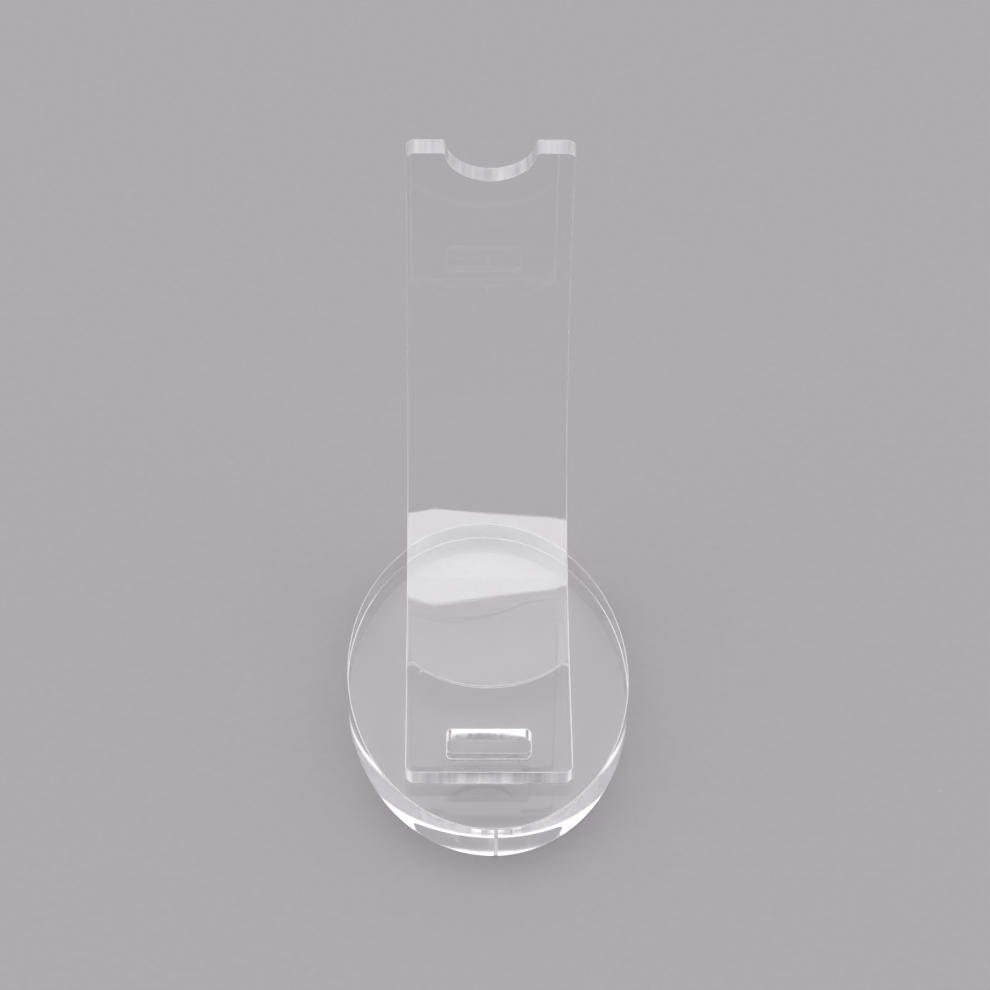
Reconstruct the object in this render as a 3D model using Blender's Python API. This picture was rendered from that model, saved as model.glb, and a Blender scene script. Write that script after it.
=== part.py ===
"""Clear acrylic phone stand: an oval base slab, a heat-bent strip, and the cement between them.

Metres, +Z up. The origin is the middle of the slab's underside, and the stand faces -Y.
Run in Blender 4.5: blender --background --python part.py
"""
import math

import bmesh
import bpy
from mathutils import Matrix, Vector

MM = 0.001

# Base slab: an oval cut from thick cast sheet, its long axis front to back.
BASE_WIDTH = 103.5 * MM
BASE_DEPTH = 150.5 * MM
BASE_THICK = 15 * MM
BASE_TURN = math.radians(1.75)      # the slab sits this little out of line with the strip
SEAM_WIDTH = 1.5 * MM               # mark in the wall where the cut round the oval starts and ends
SEAM_DEPTH = 0.25 * MM

# Strip: one flat blank, bent over a round former. Lengths follow its upper, inner face.
STRIP_WIDTH = 60 * MM
STRIP_THICK = 6 * MM
FOOT_LENGTH = 63 * MM
FOOT_FRONT_Y = -54.5 * MM
FORMER_RADIUS = 81.5 * MM           # the tight part of the bend, next to the foot
FORMER_TURN = math.radians(75)
EASED_RADIUS = 207 * MM             # the slack part, up to the tip
EASED_TURN = math.radians(30)
CORNER_RADIUS = 3.5 * MM

# Slot through the foot.
SLOT_LENGTH = 30 * MM
SLOT_WIDTH = 11.3 * MM
SLOT_SETBACK = 9.2 * MM             # foot's front end to the slot
SLOT_CORNER = 2 * MM

# Half-round notch in the tip, centred on the end line.
NOTCH_RADIUS = 16 * MM
NOTCH_SHOULDER = 1.5 * MM           # rounding where the notch runs out into the end

# Cement between the foot and the slab: it ends at the back in a hollow curve.
CEMENT_THICK = 0.2 * MM
JOINT_GAP = 0.2 * MM                # clearance on each side of the cement
CEMENT_CURVE = 38 * MM              # radius of its back edge
CEMENT_REACH = 44 * MM              # foot's front end to the curve's nearest point
CEMENT_HORN = 1.6 * MM              # rounding of its two back corners
CEMENT_INSET = 0.5 * MM             # how far it stops short of the foot's other edges

FOOT_Z = BASE_THICK + CEMENT_THICK + 2 * JOINT_GAP      # underside of the foot
FOOT_TOP = FOOT_Z + STRIP_THICK
ARC_STEP = math.radians(2.5)        # facets on every curved face
CUT_MARGIN = 5 * MM                 # how far a cutter runs past what it cuts
SAME_POINT = 0.01 * MM


def clear_scene():
    for item in list(bpy.data.objects):
        bpy.data.objects.remove(item, do_unlink=True)


def add_collection(name):
    group = bpy.data.collections.new(name)
    bpy.context.scene.collection.children.link(group)
    return group


def clear_acrylic(name, colour, roughness):
    material = bpy.data.materials.new(name)
    material.use_nodes = True
    shader = material.node_tree.nodes["Principled BSDF"]
    shader.inputs["Base Color"].default_value = (*colour, 1)
    shader.inputs["Roughness"].default_value = roughness
    shader.inputs["Metallic"].default_value = 0
    shader.inputs["IOR"].default_value = 1.49
    shader.inputs["Transmission Weight"].default_value = 1
    return material


def arc(centre, radius, start, end):
    """Points on an arc about centre, from angle start to angle end."""
    steps = max(2, round(abs(end - start) / ARC_STEP))
    angles = (start + (end - start) * i / steps for i in range(steps + 1))
    return [centre + radius * Vector((math.cos(a), math.sin(a))) for a in angles]


def extruded_outline(name, outline, thickness, placement, group):
    """A closed flat outline, thickened evenly to both sides of its plane, as a mesh object."""
    curve = bpy.data.curves.new(name, "CURVE")
    curve.dimensions = "2D"
    curve.fill_mode = "BOTH"
    curve.extrude = thickness / 2
    spline = curve.splines.new("POLY")
    spline.points.add(len(outline) - 1)
    for point, (x, y) in zip(spline.points, outline):
        point.co = (x, y, 0, 1)
    spline.use_cyclic_u = True
    guide = bpy.data.objects.new(name, curve)
    group.objects.link(guide)
    bpy.context.view_layer.update()
    graph = bpy.context.evaluated_depsgraph_get()
    mesh = bpy.data.meshes.new_from_object(guide.evaluated_get(graph))
    bpy.data.objects.remove(guide)
    bpy.data.curves.remove(curve)
    weld_and_face_out(mesh)
    mesh.name = name
    piece = bpy.data.objects.new(name, mesh)
    piece.matrix_world = placement
    group.objects.link(piece)
    return piece


def weld_and_face_out(mesh):
    shape = bmesh.new()
    shape.from_mesh(mesh)
    bmesh.ops.remove_doubles(shape, verts=shape.verts, dist=SAME_POINT)
    bmesh.ops.recalc_face_normals(shape, faces=shape.faces)
    shape.to_mesh(mesh)
    shape.free()


def cut(piece, cutter):
    cutter.hide_render = True
    cutter.display_type = "WIRE"
    boolean = piece.modifiers.new(f"cut {cutter.name}", "BOOLEAN")
    boolean.operation = "DIFFERENCE"
    boolean.object = cutter


def finish(piece, material):
    piece.data.materials.clear()
    piece.data.materials.append(material)
    piece.data.shade_smooth()
    piece.data.set_sharp_from_angle(angle=math.radians(20))


def round_rectangle(x_min, x_max, y_min, y_max, radius):
    low = Vector((x_min + radius, y_min + radius))
    high = Vector((x_max - radius, y_max - radius))
    corners = (high, Vector((low.x, high.y)), low, Vector((high.x, low.y)))
    outline = []
    for quarter, centre in enumerate(corners):
        start = quarter * math.pi / 2
        outline += arc(centre, radius, start, start + math.pi / 2)
    return outline


def strip_path():
    """The inner face seen from the side, as (depth, height, slope) from the foot's front end."""
    path = [(0.0, 0.0, 0.0)]
    depth, height, slope = FOOT_LENGTH, 0.0, 0.0
    path.append((depth, height, slope))
    for radius, turn in ((FORMER_RADIUS, FORMER_TURN), (EASED_RADIUS, EASED_TURN)):
        steps = round(turn / ARC_STEP)
        centre = (depth - radius * math.sin(slope), height + radius * math.cos(slope))
        start = slope
        for step in range(1, steps + 1):
            slope = start + turn * step / steps
            depth = centre[0] + radius * math.sin(slope)
            height = centre[1] - radius * math.cos(slope)
            path.append((depth, height, slope))
    return path


def side_frame(y, z):
    """Local x runs back, local y runs up and local z runs to the right, from the point (y, z)."""
    axes = Matrix(((0, 0, 1), (1, 0, 0), (0, 1, 0))).to_4x4()
    return Matrix.Translation((0, y, z)) @ axes


def tip_frame():
    """The strip's end line: local x runs right, local y along the strip and local z to the front."""
    depth, height, slope = strip_path()[-1]
    along = Vector((0, math.cos(slope), math.sin(slope)))
    right = Vector((1, 0, 0))
    axes = Matrix((right, along, right.cross(along))).transposed().to_4x4()
    return Matrix.Translation((0, FOOT_FRONT_Y + depth, FOOT_TOP + height)) @ axes


def round_end_corners(piece, end_middles):
    """Rounds the edges through the strip's thickness; end_middles are their middles, from the side."""
    shape = bmesh.new()
    shape.from_mesh(piece.data)
    edges = []
    for edge in shape.edges:
        middle = (edge.verts[0].co + edge.verts[1].co) / 2
        if min((middle.xy - end).length for end in end_middles) < SAME_POINT:
            edges.append(edge)
    bmesh.ops.bevel(shape, geom=edges, offset=CORNER_RADIUS, segments=6, profile=0.5, affect="EDGES")
    bmesh.ops.recalc_face_normals(shape, faces=shape.faces)
    shape.to_mesh(piece.data)
    shape.free()


def make_base(group, cutters):
    steps = 144
    outline = [
        (
            BASE_WIDTH / 2 * math.cos(2 * math.pi * i / steps),
            BASE_DEPTH / 2 * math.sin(2 * math.pi * i / steps),
        )
        for i in range(steps)
    ]
    turn = Matrix.Rotation(BASE_TURN, 4, "Z")
    middle = Matrix.Translation((0, 0, BASE_THICK / 2))
    base = extruded_outline("base_slab", outline, BASE_THICK, turn @ middle, group)
    front = -BASE_DEPTH / 2
    groove = [
        (-SEAM_WIDTH / 2, front - CUT_MARGIN),
        (SEAM_WIDTH / 2, front - CUT_MARGIN),
        (SEAM_WIDTH / 2, front + SEAM_DEPTH / 4),
        (0, front + SEAM_DEPTH),
        (-SEAM_WIDTH / 2, front + SEAM_DEPTH / 4),
    ]
    depth = BASE_THICK + 2 * CUT_MARGIN
    cut(base, extruded_outline("seam_cutter", groove, depth, turn @ middle, cutters))
    return base


def slot_cutter(name, grow, cutters):
    front = FOOT_FRONT_Y + SLOT_SETBACK
    outline = round_rectangle(
        -SLOT_LENGTH / 2 - grow,
        SLOT_LENGTH / 2 + grow,
        front - grow,
        front + SLOT_WIDTH + grow,
        SLOT_CORNER + grow,
    )
    return extruded_outline(name, outline, 4 * STRIP_THICK, Matrix.Translation((0, 0, FOOT_TOP)), cutters)


def notch_cutter(cutters):
    """The half round, with its two shoulders eased, closed off above the end line."""
    shoulder_x = math.sqrt((NOTCH_RADIUS + NOTCH_SHOULDER) ** 2 - NOTCH_SHOULDER ** 2)
    lean = math.asin(NOTCH_SHOULDER / (NOTCH_RADIUS + NOTCH_SHOULDER))
    right = Vector((shoulder_x, -NOTCH_SHOULDER))
    left = Vector((-shoulder_x, -NOTCH_SHOULDER))
    outline = [Vector((-shoulder_x, CUT_MARGIN))]
    outline += arc(left, NOTCH_SHOULDER, math.pi / 2, lean)
    outline += arc(Vector((0, 0)), NOTCH_RADIUS, math.pi + lean, 2 * math.pi - lean)[1:-1]
    outline += arc(right, NOTCH_SHOULDER, math.pi - lean, math.pi / 2)
    outline += [Vector((shoulder_x, CUT_MARGIN))]
    return extruded_outline("notch_cutter", outline, 6 * STRIP_THICK, tip_frame(), cutters)


def make_strip(group, cutters):
    inner, outer = [], []
    for depth, height, slope in strip_path():
        point = Vector((depth, height))
        inner.append(point)
        outer.append(point + STRIP_THICK * Vector((math.sin(slope), -math.cos(slope))))
    placement = side_frame(FOOT_FRONT_Y, FOOT_TOP)
    strip = extruded_outline("bent_strip", inner + outer[::-1], STRIP_WIDTH, placement, group)
    round_end_corners(strip, [(inner[end] + outer[end]) / 2 for end in (0, -1)])
    cut(strip, slot_cutter("slot_cutter", 0, cutters))
    cut(strip, notch_cutter(cutters))
    return strip


def cement_outline():
    """Straight at the front and sides; the back edge is hollow, with a rounded horn at each side."""
    side = STRIP_WIDTH / 2 - CEMENT_INSET
    front = FOOT_FRONT_Y + CEMENT_INSET
    hollow = Vector((0, FOOT_FRONT_Y + CEMENT_REACH + CEMENT_CURVE))
    horn_x = side - CEMENT_HORN
    horn_y = hollow.y - math.sqrt((CEMENT_CURVE + CEMENT_HORN) ** 2 - horn_x ** 2)
    lean = math.atan2(hollow.y - horn_y, -horn_x)      # from the right horn's centre to the hollow's
    right_horn = arc(Vector((horn_x, horn_y)), CEMENT_HORN, 0, lean)
    left_horn = arc(Vector((-horn_x, horn_y)), CEMENT_HORN, math.pi - lean, math.pi)
    back = arc(hollow, CEMENT_CURVE, lean - math.pi, -lean)[1:-1]
    corner = CORNER_RADIUS
    front_left = arc(Vector((-side + corner, front + corner)), corner, math.pi, 1.5 * math.pi)
    front_right = arc(Vector((side - corner, front + corner)), corner, 1.5 * math.pi, 2 * math.pi)
    return right_horn + back + left_horn + front_left + front_right


def make_cement(group, cutters):
    height = BASE_THICK + JOINT_GAP + CEMENT_THICK / 2
    placement = Matrix.Translation((0, 0, height))
    film = extruded_outline("cement_film", cement_outline(), CEMENT_THICK, placement, group)
    cut(film, slot_cutter("cement_slot_cutter", CEMENT_INSET, cutters))
    return film


def build():
    clear_scene()
    group = add_collection("phone_stand")
    cutters = add_collection("cutters")
    finish(make_base(group, cutters), clear_acrylic("clear cast acrylic slab", (0.95, 0.96, 0.97), 0.02))
    finish(make_strip(group, cutters), clear_acrylic("clear cast acrylic strip", (0.96, 0.96, 0.98), 0.02))
    finish(make_cement(group, cutters), clear_acrylic("acrylic cement", (0.93, 0.94, 0.95), 0.05))


build()
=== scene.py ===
"""Looks of the clear acrylic phone stand: oval slab, bent strip, and the cement that holds them.

Metres, +Z up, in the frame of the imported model. The stand faces -Y.
"""

import math

import bmesh
import bpy
from mathutils import Matrix, Vector


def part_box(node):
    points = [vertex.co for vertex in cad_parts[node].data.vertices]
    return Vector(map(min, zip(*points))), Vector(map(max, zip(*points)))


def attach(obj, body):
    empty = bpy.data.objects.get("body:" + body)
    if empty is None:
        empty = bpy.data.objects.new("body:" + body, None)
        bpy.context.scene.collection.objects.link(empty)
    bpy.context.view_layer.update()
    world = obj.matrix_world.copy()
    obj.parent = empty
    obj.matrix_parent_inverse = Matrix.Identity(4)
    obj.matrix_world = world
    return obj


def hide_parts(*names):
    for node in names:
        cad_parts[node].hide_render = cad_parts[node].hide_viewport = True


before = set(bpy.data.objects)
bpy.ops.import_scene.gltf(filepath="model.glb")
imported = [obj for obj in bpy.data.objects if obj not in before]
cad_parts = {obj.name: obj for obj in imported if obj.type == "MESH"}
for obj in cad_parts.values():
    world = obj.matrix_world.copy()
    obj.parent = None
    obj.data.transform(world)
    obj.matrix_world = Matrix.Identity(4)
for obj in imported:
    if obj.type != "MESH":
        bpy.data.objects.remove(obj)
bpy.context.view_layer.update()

MM = 0.001

# Slab: an oval cut from thick cast sheet. Its size comes from the frame's box and this turn.
SLAB_TURN = math.radians(1.75)
SLAB_EDGE = 0.35 * MM
SEAM_WIDTH = 1.5 * MM               # mark in the wall where the cut round the oval starts and ends
SEAM_DEPTH = 0.25 * MM

# Strip: a flat blank bent over a round former. Lengths follow its upper, inner face.
STRIP_THICK = 6 * MM
STRIP_EDGE = 0.28 * MM
FOOT_LENGTH = 63 * MM
BENDS = ((81.5 * MM, math.radians(75)), (207 * MM, math.radians(30)))    # radius and turn of each
CORNER_RADIUS = 3.5 * MM
SLOT_LENGTH = 30 * MM
SLOT_WIDTH = 11.3 * MM
SLOT_SETBACK = 9.2 * MM             # foot's front end to the slot
SLOT_CORNER = 2 * MM
NOTCH_RADIUS = 16 * MM              # half round, centred on the end line
NOTCH_SHOULDER = 1.5 * MM
BEND_SLICE = 1 * MM                 # length of one flat facet round the bend

# The bend was made by hand: its two faces lean a little out of true, most at the sides.
TWIST = math.radians(0.1) / MM      # lean for each mm across the strip
LEFT_FLARE = (20 * MM, math.radians(3))      # where it starts, and the lean that it reaches at the side
RIGHT_FLARE = (24.5 * MM, math.radians(1.6))
TRUE_LINE = 106 * MM                # along the blank: the bend is true here, and leans each way beside it
LEAN_REACH = 23 * MM                # from the true line to the full lean
LEAN_ENDS = (63 * MM, 80 * MM, 125 * MM, 160 * MM)      # it fades in and out between these
LEAN_SLICE = 2.5 * MM
OUTER_LEAN = math.radians(-0.35)    # the outer face leans less, over the first part of the bend
OUTER_ENDS = (63 * MM, 80 * MM, 90 * MM, 115 * MM)

# Cement between the foot and the slab: it ends at the back in a hollow curve.
CEMENT_CURVE = 38 * MM
CEMENT_REACH = 43 * MM              # foot's front end to the curve's nearest point, on the foot
CEMENT_LIP = 1.75 * MM              # how much further back it runs on the slab
CEMENT_SKIN = 0.12 * MM             # thickness of that lip at its end
CRAZED_WIDTH = 0.38 * MM            # dried white line along each contact
CEMENT_HORN = 1.6 * MM
CEMENT_INSET = 0.5 * MM             # how far it stops short of the foot's other edges
CEMENT_KEY = 0.02 * MM              # how far it sinks into the two faces that it joins
HOLLOW_STEPS = 6                    # facets down its hollow back face
HOLLOW_BOW = 2.6                    # 1 would be a straight slope
BUBBLES = (                         # trapped air: across, back from the foot's front end, radius, in mm
    (-24.6, 51.2, 0.6),
    (23.8, 49.6, 0.3),
    (-20.5, 46.2, 0.2),
    (8.5, 41.8, 0.2),
)
BUBBLE_FLATNESS = 0.5               # the film squeezes them to half their width

ARC_STEP = math.radians(3)
SLAB_STEPS = 720
SEAM_STEPS = 20                     # finer ones, each side of the seam's middle
EDGE_STEPS = 4                      # facets across each rounded edge
TOUCH = 0.01 * MM                   # closer than this counts as touching
UPPER, LOWER = math.pi / 2, -math.pi / 2        # tilts of the ways out of a flat upper and lower face

# Camera: where it stands, which way it looks and how much it sees.
CAMERA_PLACE = Vector((-17.03, -860.39, 975.25)) * MM
CAMERA_AIM = Vector((1.49, -1.75, 108.76)) * MM
CAMERA_ROLL = math.radians(0.969)
CAMERA_LENS = 127.1                 # on a 36 mm wide sensor

ACRYLIC_IOR = 1.49

# The laser's marks in a cut face.
RIDGE_GAP = 1.4 * MM                # a real ridge is 0.2 mm wide, too fine to show
SWATHE_GAP = 4 * MM                 # wider bands, where the laser ran slower or faster
RIDGE_STRETCH = 0.02                # the marks run from face to face, so they hardly change that way
SMOKE_REACH = (14 * MM, 25 * MM)    # its smoke dulls the middle of the foot's front end, fading out here

# What casting and handling leave on a polished face.
SWELL_GAP = 22 * MM
SWELL_HEIGHT = 0.02 * MM
DUST_GAP = 12 * MM
DUST_SIZE = (0.015, 0.03)           # core and rim as parts of the gap; a real speck is too fine to show
DUST_GLOSS = 0.26
HAIRLINE_GAP = 1.2 * MM             # real wiping marks are 0.05 mm wide, too fine to show
HAIRLINE_STRETCH = 0.04
HAIRLINE_GLOSS = 0.12

FLOOR_GRAIN = 3 * MM                # mottle of the painted board

# Light, where 1 is white.
ROOM_LIGHT = 1.35                   # ceiling and wall behind the stand
HORIZON_LIGHT = 1.1                 # low down there
WINDOW_LIGHT = 0.35                 # added high up behind the stand
FRONT_LIGHT = 0.44                  # the dim side, behind the camera
LAMP_LIGHT = 4.4
LAMP_HEIGHT = 1.6                   # metres, and so are the next
LAMP_SPAN = ((-0.5, -0.88), (0.5, 0.42))        # two of its corners, from above
BOUNCES = 160                       # light runs dozens of times along the inside of the strip


# ---------------------------------------------------------------- shader nodes

def linear(code):
    """An sRGB hex colour as linear RGBA."""
    channels = (int(code[i:i + 2], 16) / 255 for i in (1, 3, 5))
    return (*(c / 12.92 if c <= 0.04045 else ((c + 0.055) / 1.055) ** 2.4 for c in channels), 1)


def add_node(tree, kind, inputs=None, **settings):
    """Adds a node with its settings; each input is a value, or a socket to link."""
    made = tree.nodes.new(kind)
    for name, value in settings.items():
        setattr(made, name, value)
    for name, value in (inputs or {}).items():
        if isinstance(value, bpy.types.NodeSocket):
            tree.links.new(value, made.inputs[name])
        else:
            made.inputs[name].default_value = value
    return made


def new_material(name):
    material = bpy.data.materials.new(name)
    material.use_nodes = True
    material.node_tree.nodes.clear()
    return material, material.node_tree


# ---------------------------------------------------------------- materials

def cast_acrylic(name, tint, haze):
    """Cast acrylic sheet, polished: water clear and flat to a few microns, with some dust and hairlines.

    haze is the roughness between the specks.
    """
    material, tree = new_material(name)
    place = add_node(tree, "ShaderNodeTexCoord").outputs["Object"]
    swell = add_node(tree, "ShaderNodeTexNoise", {"Vector": place, "Scale": 1 / SWELL_GAP, "Detail": 1})
    dust = add_node(tree, "ShaderNodeTexVoronoi", {"Vector": place, "Scale": 1 / DUST_GAP})
    speck = add_node(tree, "ShaderNodeMapRange", {
        "Value": dust.outputs["Distance"], "From Min": DUST_SIZE[0], "From Max": DUST_SIZE[1],
        "To Min": DUST_GLOSS, "To Max": haze})
    drawn = add_node(tree, "ShaderNodeVectorMath", {
        0: place, 1: (1, HAIRLINE_STRETCH, HAIRLINE_STRETCH)}, operation="MULTIPLY")
    wiped = add_node(tree, "ShaderNodeTexNoise", {
        "Vector": drawn.outputs[0], "Scale": 1 / HAIRLINE_GAP, "Detail": 0})
    hairline = add_node(tree, "ShaderNodeMapRange", {
        "Value": wiped.outputs["Fac"], "From Min": 0.76, "From Max": 0.8,
        "To Min": 0.0, "To Max": HAIRLINE_GLOSS})
    gloss = add_node(tree, "ShaderNodeMath", {
        0: speck.outputs["Result"], 1: hairline.outputs["Result"]}, operation="MAXIMUM")
    flow = add_node(tree, "ShaderNodeBump", {
        "Height": swell.outputs["Fac"], "Distance": SWELL_HEIGHT, "Strength": 1})
    shader = add_node(tree, "ShaderNodeBsdfPrincipled", {
        "Base Color": linear(tint), "Roughness": gloss.outputs[0], "IOR": ACRYLIC_IOR,
        "Transmission Weight": 1, "Normal": flow.outputs["Normal"]})
    add_node(tree, "ShaderNodeOutputMaterial", {"Surface": shader.outputs[0]})
    return material


def cut_acrylic(name, dark, light, clear, relief_height, smooth, rough, smoke=None):
    """Acrylic where a laser cut through it: glossy to satin, with fine ridges from face to face.

    dark and light are the tones of its ridges, clear is the share of light that goes through, and
    smoke is the tone of the film on the foot's front end.
    """
    material, tree = new_material(name)
    place = add_node(tree, "ShaderNodeAttribute", attribute_name="blank")
    stretched = add_node(tree, "ShaderNodeVectorMath", {
        0: place.outputs["Vector"], 1: (1, 1, RIDGE_STRETCH)}, operation="MULTIPLY")
    ridges = add_node(tree, "ShaderNodeTexNoise", {
        "Vector": stretched.outputs[0], "Scale": 1 / RIDGE_GAP, "Detail": 0})
    swathes = add_node(tree, "ShaderNodeTexNoise", {
        "Vector": stretched.outputs[0], "Scale": 1 / SWATHE_GAP, "Detail": 0})
    both = add_node(tree, "ShaderNodeMath", {
        0: ridges.outputs["Fac"], 1: 0.5, 2: swathes.outputs["Fac"]}, operation="MULTIPLY_ADD")
    relief = add_node(tree, "ShaderNodeBump", {
        "Height": both.outputs[0], "Distance": relief_height, "Strength": 1})
    gloss = add_node(tree, "ShaderNodeMapRange", {
        "Value": ridges.outputs["Fac"], "From Min": 0.35, "From Max": 0.7,
        "To Min": smooth, "To Max": rough})
    stain = add_node(tree, "ShaderNodeMapRange", {
        "Value": both.outputs[0], "From Min": 0.5, "From Max": 0.95})
    tone = add_node(tree, "ShaderNodeMix", {
        0: stain.outputs["Result"], 6: linear(dark), 7: linear(light)}, data_type="RGBA")
    colour = tone.outputs[2]
    if smoke:
        at = add_node(tree, "ShaderNodeSeparateXYZ", {0: place.outputs["Vector"]})
        across = add_node(tree, "ShaderNodeMath", {0: at.outputs["X"]}, operation="ABSOLUTE")
        inward = add_node(tree, "ShaderNodeMapRange", {
            "Value": across.outputs[0], "From Min": SMOKE_REACH[0], "From Max": SMOKE_REACH[1],
            "To Min": 1, "To Max": 0}, interpolation_type="SMOOTHSTEP")
        ahead = add_node(tree, "ShaderNodeMath", {0: at.outputs["Y"], 1: STRIP_EDGE}, operation="LESS_THAN")
        patch = add_node(tree, "ShaderNodeMath", {
            0: inward.outputs["Result"], 1: ahead.outputs[0]}, operation="MULTIPLY")
        blotch = add_node(tree, "ShaderNodeMapRange", {
            "Value": both.outputs[0], "From Min": 0.55, "From Max": 0.95, "To Min": 1, "To Max": 0.55})
        film = add_node(tree, "ShaderNodeMath", {
            0: patch.outputs[0], 1: blotch.outputs["Result"]}, operation="MULTIPLY")
        smoked = add_node(tree, "ShaderNodeMix", {
            0: film.outputs[0], 6: colour, 7: linear(smoke)}, data_type="RGBA")
        colour = smoked.outputs[2]
    shader = add_node(tree, "ShaderNodeBsdfPrincipled", {
        "Base Color": colour, "Roughness": gloss.outputs["Result"], "IOR": ACRYLIC_IOR,
        "Transmission Weight": clear, "Normal": relief.outputs["Normal"]})
    add_node(tree, "ShaderNodeOutputMaterial", {"Surface": shader.outputs[0]})
    return material


def wetted_acrylic(name):
    """A face that cement has wetted: the two plastics run together, so light goes through unmirrored."""
    material, tree = new_material(name)
    shader = add_node(tree, "ShaderNodeBsdfRefraction", {
        "Color": linear("#ffffff"), "Roughness": 0, "IOR": ACRYLIC_IOR})
    add_node(tree, "ShaderNodeOutputMaterial", {"Surface": shader.outputs[0]})
    return material


def floor_paint(name):
    """Matt painted board: pale and even."""
    material, tree = new_material(name)
    place = add_node(tree, "ShaderNodeTexCoord").outputs["Object"]
    grain = add_node(tree, "ShaderNodeTexNoise", {"Vector": place, "Scale": 1 / FLOOR_GRAIN, "Detail": 3})
    shade = add_node(tree, "ShaderNodeMix", {
        0: grain.outputs["Fac"], 6: linear("#a4a2a4"), 7: linear("#a9a7a9")}, data_type="RGBA")
    shader = add_node(tree, "ShaderNodeBsdfDiffuse", {"Color": shade.outputs[2]})
    add_node(tree, "ShaderNodeOutputMaterial", {"Surface": shader.outputs[0]})
    return material


# ---------------------------------------------------------------- outlines
# An outline is a closed list of (point, way out of the material).

def arc(centre, radius, start, end, hollow=False):
    """Part of an outline about centre, from angle start to angle end."""
    steps = max(2, round(abs(end - start) / ARC_STEP))
    points = []
    for i in range(steps + 1):
        angle = start + (end - start) * i / steps
        spoke = Vector((math.cos(angle), math.sin(angle)))
        points.append((centre + radius * spoke, -spoke if hollow else spoke))
    return points


def round_rectangle(low, high, radius, hollow):
    """A rectangle with rounded corners, anticlockwise from its upper right corner's lower end."""
    low, high = Vector(low), Vector(high)
    inner_low, inner_high = low + Vector((radius, radius)), high - Vector((radius, radius))
    upper_left, lower_right = Vector((inner_low.x, inner_high.y)), Vector((inner_high.x, inner_low.y))
    corners = (inner_high, upper_left, inner_low, lower_right)
    outline = []
    for quarter, centre in enumerate(corners):
        start = quarter * math.pi / 2
        outline += arc(centre, radius, start, start + math.pi / 2, hollow)
    return outline


def blank_outline(half_width, length):
    """The strip's blank with its foot's front end on y = 0, and the notch in its far end."""
    side = half_width - CORNER_RADIUS
    shoulder_x = math.sqrt((NOTCH_RADIUS + NOTCH_SHOULDER) ** 2 - NOTCH_SHOULDER ** 2)
    lean = math.asin(NOTCH_SHOULDER / (NOTCH_RADIUS + NOTCH_SHOULDER))
    shoulder_y = length - NOTCH_SHOULDER
    half, right = math.pi, math.pi / 2
    return (
        arc(Vector((side, CORNER_RADIUS)), CORNER_RADIUS, -right, 0)
        + arc(Vector((side, length - CORNER_RADIUS)), CORNER_RADIUS, 0, right)
        + arc(Vector((shoulder_x, shoulder_y)), NOTCH_SHOULDER, right, half - lean)
        + arc(Vector((0, length)), NOTCH_RADIUS, -lean, lean - half, hollow=True)[1:-1]
        + arc(Vector((-shoulder_x, shoulder_y)), NOTCH_SHOULDER, lean, right)
        + arc(Vector((-side, length - CORNER_RADIUS)), CORNER_RADIUS, right, half)
        + arc(Vector((-side, CORNER_RADIUS)), CORNER_RADIUS, half, half + right)
    )


def slot_outline(grow):
    low = (-SLOT_LENGTH / 2 - grow, SLOT_SETBACK - grow)
    high = (SLOT_LENGTH / 2 + grow, SLOT_SETBACK + SLOT_WIDTH + grow)
    return round_rectangle(low, high, SLOT_CORNER + grow, hollow=True)


def cement_outline(half_width, back=0.0):
    """Straight at the front and sides; the hollow back edge, with its rounded horns, is moved by back."""
    side = half_width - CEMENT_INSET
    hollow_y = CEMENT_REACH + CEMENT_CURVE + back
    horn_x = side - CEMENT_HORN
    horn_y = hollow_y - math.sqrt((CEMENT_CURVE + CEMENT_HORN) ** 2 - horn_x ** 2)
    lean = math.atan2(hollow_y - horn_y, -horn_x)
    corner = CORNER_RADIUS
    low = CEMENT_INSET + corner
    half, right = math.pi, math.pi / 2
    return (
        arc(Vector((horn_x, horn_y)), CEMENT_HORN, 0, lean)
        + arc(Vector((0, hollow_y)), CEMENT_CURVE, lean - half, -lean, hollow=True)[1:-1]
        + arc(Vector((-horn_x, horn_y)), CEMENT_HORN, half - lean, half)
        + arc(Vector((corner - side, low)), corner, half, half + right)
        + arc(Vector((side - corner, low)), corner, -right, 0)
    )


def oval_outline(half_width, half_depth):
    """The slab's oval, with the shallow seam groove at the front end of its long axis."""
    angles = [2 * math.pi * i / SLAB_STEPS for i in range(SLAB_STEPS)]
    front = 1.5 * math.pi
    near = 1.2 * SEAM_WIDTH / half_width        # a little past the groove
    angles = [a for a in angles if abs(a - front) > near]
    angles += [front + near * i / SEAM_STEPS for i in range(-SEAM_STEPS, SEAM_STEPS + 1)]
    points = []
    for angle in sorted(angles):
        spoke = Vector((half_width * math.cos(angle), half_depth * math.sin(angle)))
        offset = abs(spoke.x) / (SEAM_WIDTH / 2) if spoke.y < 0 else 2
        groove = SEAM_DEPTH * math.cos(offset * math.pi / 2) ** 2 if offset < 1 else 0
        points.append(spoke + Vector((0, groove)))
    count = len(points)
    outline = []
    for i, point in enumerate(points):
        along = points[(i + 1) % count] - points[i - 1]
        outline.append((point, Vector((along.y, -along.x)).normalized()))
    return outline


def moved(outline, turn, shift):
    return [(turn @ point + shift, turn @ out) for point, out in outline]


# ---------------------------------------------------------------- flat plates

def rounded_edge(thick, radius):
    """The edge from the upper face round to the lower one, as (inset, drop, tilt)."""
    tilts = [math.pi / 2 * (1 - i / EDGE_STEPS) for i in range(EDGE_STEPS + 1)]
    upper = [(radius * (1 - math.cos(a)), radius * (1 - math.sin(a)), a) for a in tilts]
    lower = [(inset, thick - drop, -a) for inset, drop, a in reversed(upper)]
    return upper + lower


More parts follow.
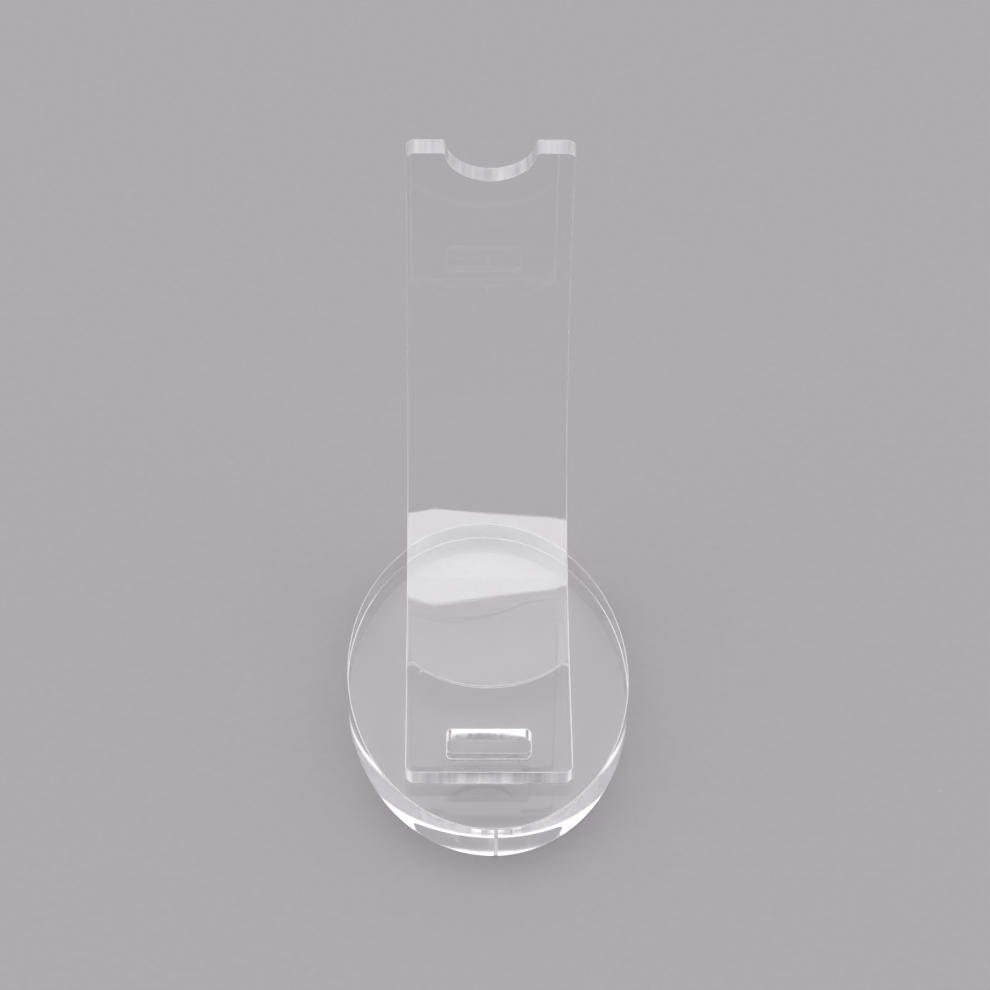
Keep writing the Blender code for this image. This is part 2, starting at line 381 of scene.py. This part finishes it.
class Plate:
    """A flat plate in the making: rings of points round its outlines, then skins between them."""

    def __init__(self):
        self.shape = bmesh.new()
        self.out = self.shape.verts.layers.float_vector.new("out")
        self.blank = self.shape.verts.layers.float_vector.new("blank")
        self.voids = set()

    def ring(self, outline, inset, height, tilt):
        ring = []
        for point, out in outline:
            spot = point - inset * out
            vert = self.shape.verts.new((spot.x, spot.y, height))
            flat = math.cos(tilt) * out
            vert[self.out] = (flat.x, flat.y, math.sin(tilt))
            ring.append(vert)
        return ring

    def skin(self, upper, lower, pick):
        """Faces between two rings; pick gives the material at a point."""
        for i in range(len(upper)):
            face = self.shape.faces.new((upper[i - 1], lower[i - 1], lower[i], upper[i]))
            face.material_index = pick(face.calc_center_median())

    def wall(self, outline, profile, top, pick):
        """Skins the outline's edge and returns its highest and lowest ring."""
        rings = [self.ring(outline, inset, top - drop, tilt) for inset, drop, tilt in profile]
        for upper, lower in zip(rings, rings[1:]):
            self.skin(upper, lower, pick)
        return rings[0], rings[-1]

    def fill(self, rings, material):
        """Fills the flat area that lies between these rings."""
        edges = []
        for ring in rings:
            for i in range(len(ring)):
                ends = (ring[i - 1], ring[i])
                edges.append(self.shape.edges.get(ends) or self.shape.edges.new(ends))
        made = bmesh.ops.triangle_fill(self.shape, use_beauty=True, edges=edges)
        for item in made["geom"]:
            if isinstance(item, bmesh.types.BMFace):
                item.material_index = material

    def bubble(self, centre, radius, material):
        """A flattened void, so its faces look inward."""
        size = Matrix.Diagonal((radius, radius, BUBBLE_FLATNESS * radius, 1))
        place = Matrix.Translation(centre) @ size
        made = bmesh.ops.create_icosphere(self.shape, subdivisions=3, radius=1, matrix=place)
        for vert in made["verts"]:
            way = size.to_3x3().inverted() @ (vert.co - centre)
            vert[self.out] = -way.normalized()
            self.voids.update(vert.link_faces)
        for face in {face for vert in made["verts"] for face in vert.link_faces}:
            face.normal_flip()
            face.material_index = material

    def slice(self, axis, start, end, gap):
        """Cuts straight through the plate, square to the axis, so that it can bend there."""
        count = math.ceil((end - start) / gap)
        for i in range(count):
            line = start + (end - start) * i / count
            geom = self.shape.verts[:] + self.shape.edges[:] + self.shape.faces[:]
            bmesh.ops.bisect_plane(self.shape, geom=geom, dist=1e-7, plane_co=line * axis, plane_no=axis)

    def piece(self, name, materials, place):
        """Makes the object; place turns a flat point and its way out into those of the finished piece."""
        solid = [face for face in self.shape.faces if face not in self.voids]
        bmesh.ops.recalc_face_normals(self.shape, faces=solid)
        ways_out = []
        for vert in self.shape.verts:
            vert[self.blank] = vert.co
            vert.co, out = place(vert.co, vert[self.out])
            ways_out.append(out.normalized())
        mesh = bpy.data.meshes.new(name)
        self.shape.to_mesh(mesh)
        self.shape.free()
        mesh.attributes.remove(mesh.attributes["out"])
        mesh.shade_smooth()
        mesh.normals_split_custom_set_from_vertices(ways_out)
        for material in materials:
            mesh.materials.append(material)
        piece = bpy.data.objects.new(name, mesh)
        bpy.context.scene.collection.objects.link(piece)
        return piece


# ---------------------------------------------------------------- pieces

slab_low, slab_high = (Vector(corner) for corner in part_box("base_slab"))
strip_low, strip_high = (Vector(corner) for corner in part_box("bent_strip"))
foot_front = strip_low.y
foot_z = strip_low.z
half_width = (strip_high.x - strip_low.x) / 2
strip_length = FOOT_LENGTH + sum(radius * turn for radius, turn in BENDS)


def lifted(height):
    """Places a flat plate with its y = 0 on the foot's front end, at this height."""
    def place(point, out):
        return Vector((point.x, point.y + foot_front, point.z + height)), out
    return place


def slab_half_axes():
    """The oval's own half axes, from the box round it as it stands turned."""
    half = (slab_high - slab_low) / 2
    cos2, sin2 = math.cos(SLAB_TURN) ** 2, math.sin(SLAB_TURN) ** 2
    width = math.sqrt((half.x ** 2 * cos2 - half.y ** 2 * sin2) / (cos2 - sin2))
    depth = math.sqrt((half.y ** 2 * cos2 - half.x ** 2 * sin2) / (cos2 - sin2))
    return width, depth


def make_slab(polished, wall, wetted, seam, eased):
    FACE, WALL, JOINT, SEAM, RIM = range(5)
    thick = slab_high.z - slab_low.z
    seam_x = slab_half_axes()[1] * math.sin(SLAB_TURN)

    def wall_material(middle):
        """The seam's own finish in its groove, and the eased one round the upper rim."""
        if middle.y < 0 and abs(middle.x - seam_x) < SEAM_WIDTH / 2:
            return SEAM
        return RIM if middle.z > thick - SLAB_EDGE else WALL

    plate = Plate()
    turn = Matrix.Rotation(SLAB_TURN, 2)
    outline = moved(oval_outline(*slab_half_axes()), turn, Vector((0, -foot_front)))
    top, bottom = plate.wall(outline, rounded_edge(thick, SLAB_EDGE), thick, wall_material)
    cement = plate.ring(cement_outline(half_width, CEMENT_LIP), 0, thick, UPPER)
    island = plate.ring(slot_outline(CEMENT_INSET), 0, thick, UPPER)
    plate.fill([top, cement], FACE)
    plate.fill([cement, island], JOINT)
    plate.fill([island], FACE)
    plate.fill([bottom], FACE)
    return plate.piece("slab", [polished, wall, wetted, seam, eased], lifted(slab_low.z))


def ramp(value, start, end):
    """0 before start and 1 after end, with a soft rise between them."""
    part = min(max((value - start) / (end - start), 0), 1)
    return part * part * (3 - 2 * part)


def lean(x, along):
    """How far the faces lean out of true at this place on the blank."""
    rise, full, fall, gone = LEAN_ENDS
    strength = (along - TRUE_LINE) / LEAN_REACH * ramp(along, rise, full) * (1 - ramp(along, fall, gone))
    across = TWIST * x
    for side, (start, most) in ((-x, LEFT_FLARE), (x, RIGHT_FLARE)):
        across += most * max((side - start) / (half_width - start), 0)
    return strength * across


def outer_lean(point):
    """The outer face's own lean, which the inner one doesn't share."""
    rise, full, fall, gone = OUTER_ENDS
    strength = ramp(point.y, rise, full) * (1 - ramp(point.y, fall, gone))
    return OUTER_LEAN * ramp(-point.z, 0, STRIP_THICK) * strength


def bent(point, out):
    """Where the bend takes a point of the blank, with the blank's upper face on z = 0."""
    slope, depth, height = 0.0, 0.0, 0.0
    run = min(point.y, FOOT_LENGTH)
    depth += run
    left = point.y - run
    for radius, turn in BENDS:
        step = min(left / radius, turn)
        depth += radius * (math.sin(slope + step) - math.sin(slope))
        height += radius * (math.cos(slope) - math.cos(slope + step))
        slope += step
        left -= radius * step
    up = Vector((0, -math.sin(slope), math.cos(slope)))
    base = Vector((point.x, depth + foot_front, height + foot_z + STRIP_THICK))
    leaning = slope + lean(point.x, point.y) + outer_lean(point)
    along = Vector((0, math.cos(leaning), math.sin(leaning)))
    away = Vector((0, -math.sin(leaning), math.cos(leaning)))
    return base + point.z * up, out.x * Vector((1, 0, 0)) + out.y * along + out.z * away


def between_edges(cut, side, eased):
    """Picks the material of a cut face, of the long sides, and of the eased edges that bound them."""
    def pick(middle):
        if not -STRIP_THICK + STRIP_EDGE < middle.z < -STRIP_EDGE:
            return eased
        return side if abs(middle.x) > half_width - TOUCH else cut
    return pick


def make_strip(polished, edge, wetted, eased, slot_wall, long_side):
    FACE, END, JOINT, EASED, SLOT, SIDE = range(6)
    plate = Plate()
    profile = rounded_edge(STRIP_THICK, STRIP_EDGE)
    blank = blank_outline(half_width, strip_length)
    top, bottom = plate.wall(blank, profile, 0, between_edges(END, SIDE, EASED))
    slot_top, slot_bottom = plate.wall(slot_outline(0), profile, 0, between_edges(SLOT, SLOT, EASED))
    cement = plate.ring(cement_outline(half_width), 0, -STRIP_THICK, LOWER)
    island = plate.ring(slot_outline(CEMENT_INSET), 0, -STRIP_THICK, LOWER)
    plate.fill([top, slot_top], FACE)
    plate.fill([bottom, cement], FACE)
    plate.fill([cement, island], JOINT)
    plate.fill([island, slot_bottom], FACE)
    plate.slice(Vector((1, 0, 0)), -half_width, half_width, LEAN_SLICE)
    plate.slice(Vector((0, 1, 0)), FOOT_LENGTH, strip_length, BEND_SLICE)
    return plate.piece("strip", [polished, edge, wetted, eased, slot_wall, long_side], bent)


def cement_section(thick):
    """The back edge from the foot down to the slab, as (back, drop, tilt): ledge, hollow, thin lip."""
    ledge, lip = 2 * CEMENT_KEY, thick - CEMENT_SKIN
    points = [(0, 0), (TOUCH, CEMENT_KEY), (CRAZED_WIDTH, ledge)]
    for i in range(1, HOLLOW_STEPS + 1):
        part = i / HOLLOW_STEPS
        back = CRAZED_WIDTH + (CEMENT_LIP - 2 * CRAZED_WIDTH) * part
        points.append((back, lip - (lip - ledge) * (1 - part) ** HOLLOW_BOW))
    nose = (CEMENT_LIP + CEMENT_SKIN / 3, thick - CEMENT_SKIN / 2)
    points += [(CEMENT_LIP, lip), nose, (CEMENT_LIP, thick)]
    section = [(0, 0, UPPER)]
    for before, here, after in zip(points, points[1:], points[2:]):
        section.append((*here, math.atan2(after[0] - before[0], after[1] - before[1])))
    return section + [(CEMENT_LIP, thick, LOWER)]


def make_cement(film, wetted, crazed, void):
    FILM, JOINT, CRAZED, VOID = range(4)
    gap = foot_z - slab_high.z
    thick = gap + 2 * CEMENT_KEY
    plate = Plate()
    section = cement_section(thick)
    rings = []
    for back, drop, tilt in section:
        ring = []
        for point, out in cement_outline(half_width, back):
            at_back = out.y > 0.01
            face_tilt = tilt if at_back or abs(tilt) == UPPER else 0
            ring += plate.ring([(point, out)], 0, thick - drop, face_tilt)
        rings.append(ring)
    for upper, lower, (start, _, _), (end, _, _) in zip(rings, rings[1:], section, section[1:]):
        middle_back = (start + end) / 2
        crazy = middle_back < CRAZED_WIDTH or middle_back > CEMENT_LIP - CRAZED_WIDTH
        plate.skin(upper, lower, lambda middle: CRAZED if crazy and middle.y > CEMENT_REACH else FILM)
    profile = rounded_edge(thick, CEMENT_KEY)
    slot = slot_outline(CEMENT_INSET)
    slot_top, slot_bottom = plate.wall(slot, profile, thick, lambda middle: FILM)
    plate.fill([rings[0], slot_top], JOINT)
    plate.fill([rings[-1], slot_bottom], JOINT)
    for x, y, radius in BUBBLES:
        plate.bubble(Vector((x * MM, y * MM, thick / 2)), radius * MM, VOID)
    return plate.piece("cement", [film, wetted, crazed, void], lifted(slab_high.z - CEMENT_KEY))


# ---------------------------------------------------------------- studio

def make_floor():
    shape = bmesh.new()
    bmesh.ops.create_grid(shape, x_segments=1, y_segments=1, size=6)
    mesh = bpy.data.meshes.new("floor")
    shape.to_mesh(mesh)
    shape.free()
    mesh.materials.append(floor_paint("matt painted board"))
    floor = bpy.data.objects.new("floor", mesh)
    floor.location.z = -0.05 * MM
    bpy.context.scene.collection.objects.link(floor)


def make_softbox():
    """A long lamp overhead, square to the strip. It shows in one reflection only, and lights no floor."""
    cloth, tree = new_material("lamp cloth")
    path = add_node(tree, "ShaderNodeLightPath")
    turns = add_node(tree, "ShaderNodeMath", {
        0: path.outputs["Diffuse Depth"], 1: 2.0, 2: path.outputs["Glossy Depth"]}, operation="MULTIPLY_ADD")
    direct = add_node(tree, "ShaderNodeMath", {0: turns.outputs[0], 1: 1.5}, operation="LESS_THAN")
    clear = add_node(tree, "ShaderNodeBsdfTransparent")
    glow = add_node(tree, "ShaderNodeEmission", {"Color": linear("#fdfdff"), "Strength": LAMP_LIGHT})
    shown = add_node(tree, "ShaderNodeMixShader", {
        0: direct.outputs[0], 1: clear.outputs[0], 2: glow.outputs[0]})
    add_node(tree, "ShaderNodeOutputMaterial", {"Surface": shown.outputs[0]})
    mesh = bpy.data.meshes.new("softbox")
    (left, near), (right, far) = LAMP_SPAN
    corners = [(x, y, LAMP_HEIGHT) for x, y in ((left, near), (right, near), (right, far), (left, far))]
    mesh.from_pydata(corners, [], [(0, 3, 2, 1)])
    mesh.materials.append(cloth)
    lamp = bpy.data.objects.new("softbox", mesh)
    bpy.context.scene.collection.objects.link(lamp)
    lamp.visible_camera = False
    lamp.visible_diffuse = False
    lamp.visible_shadow = False


def light_room():
    """A ceiling and back wall that are bright, most of all high up behind, and a dim side in front."""
    world = bpy.data.worlds.new("soft white room")
    world.use_nodes = True
    tree = world.node_tree
    tree.nodes.clear()
    way = add_node(tree, "ShaderNodeTexCoord")
    part = add_node(tree, "ShaderNodeSeparateXYZ", {0: way.outputs["Generated"]})
    room = add_node(tree, "ShaderNodeMapRange", {
        "Value": part.outputs["Z"], "From Min": 0.1, "From Max": 0.5,
        "To Min": HORIZON_LIGHT, "To Max": ROOM_LIGHT},
        interpolation_type="SMOOTHSTEP")
    back = add_node(tree, "ShaderNodeMapRange", {
        "Value": part.outputs["Y"], "From Min": 0.25, "From Max": 0.55, "To Min": 0, "To Max": WINDOW_LIGHT},
        interpolation_type="SMOOTHSTEP")
    high = add_node(tree, "ShaderNodeMapRange", {
        "Value": part.outputs["Z"], "From Min": 0.45, "From Max": 0.65}, interpolation_type="SMOOTHSTEP")
    lit = add_node(tree, "ShaderNodeMath", {
        0: back.outputs["Result"], 1: high.outputs["Result"], 2: room.outputs["Result"]},
        operation="MULTIPLY_ADD")
    behind = add_node(tree, "ShaderNodeMapRange", {
        "Value": part.outputs["Y"], "From Min": -0.5, "From Max": -0.15, "To Min": 0, "To Max": 1},
        interpolation_type="SMOOTHSTEP")
    level = add_node(tree, "ShaderNodeMix", {
        0: behind.outputs["Result"], 2: FRONT_LIGHT, 3: lit.outputs[0]}, data_type="FLOAT")
    glow = add_node(tree, "ShaderNodeBackground", {"Color": linear("#fefdff"), "Strength": level.outputs[0]})
    add_node(tree, "ShaderNodeOutputWorld", {"Surface": glow.outputs[0]})
    bpy.context.scene.world = world


def place_camera():
    data = bpy.data.cameras.new("camera")
    data.lens = CAMERA_LENS
    camera = bpy.data.objects.new("camera", data)
    camera.location = CAMERA_PLACE
    turn = (CAMERA_AIM - CAMERA_PLACE).to_track_quat("-Z", "Y")
    camera.rotation_euler = (turn.to_matrix() @ Matrix.Rotation(CAMERA_ROLL, 3, "Z")).to_euler()
    bpy.context.scene.collection.objects.link(camera)
    bpy.context.scene.camera = camera


def add_piece(piece, node):
    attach(piece, "root")
    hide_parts(node)


# Polished sheet is clear; flame polishing leaves a thin skin with a slight haze.
polished = cast_acrylic("polished cast acrylic", "#fefefe", haze=0)
slab_wall = cast_acrylic("flame polished wall", "#fbfafc", haze=0.1)
# Cut ends are satin and striped. The long sides are seen edge on, as one even line.
cut_edge = cut_acrylic(
    "laser cut acrylic edge", "#dad8dc", "#fefdfe", clear=0.8, relief_height=0.03 * MM,
    smooth=0.28, rough=0.34, smoke="#a9a7aa")
long_side = cut_acrylic(
    "laser cut long side", "#f0eef1", "#f6f5f7", clear=0.8, relief_height=0.002 * MM,
    smooth=0.3, rough=0.34)
# The slot's wall came out of the laser glossy.
slot_wall = cut_acrylic(
    "laser cut slot wall", "#ebe9f0", "#fbfafc", clear=0.9, relief_height=0.002 * MM,
    smooth=0.08, rough=0.16)
# Edges eased with a scraper are whiter, and so is the seam, where the laser stood still.
eased_edge = cut_acrylic(
    "eased acrylic edge", "#f6f4f7", "#fdfcfd", clear=0.35, relief_height=0.002 * MM,
    smooth=0.32, rough=0.34)
seam = cut_acrylic(
    "frosted seam", "#efedf0", "#fdfcfe", clear=0.6, relief_height=0.01 * MM,
    smooth=0.4, rough=0.6)
# Cement that dried in the air crazed and went milky.
crazed_cement = cut_acrylic(
    "dried acrylic cement", "#dedbdf", "#f8f6f8", clear=0.65, relief_height=0.01 * MM,
    smooth=0.3, rough=0.36)
wetted = wetted_acrylic("wetted acrylic")
add_piece(make_slab(polished, slab_wall, wetted, seam, eased_edge), "base_slab")
strip = make_strip(polished, cut_edge, wetted, eased_edge, slot_wall, long_side)
add_piece(strip, "bent_strip")
add_piece(make_cement(polished, wetted, crazed_cement, eased_edge), "cement_film")
make_floor()
make_softbox()
light_room()
place_camera()
scene = bpy.context.scene
scene.view_settings.view_transform = "Standard"
scene.cycles.max_bounces = BOUNCES
scene.cycles.transmission_bounces = BOUNCES
scene.cycles.glossy_bounces = BOUNCES
scene.cycles.blur_glossy = 0
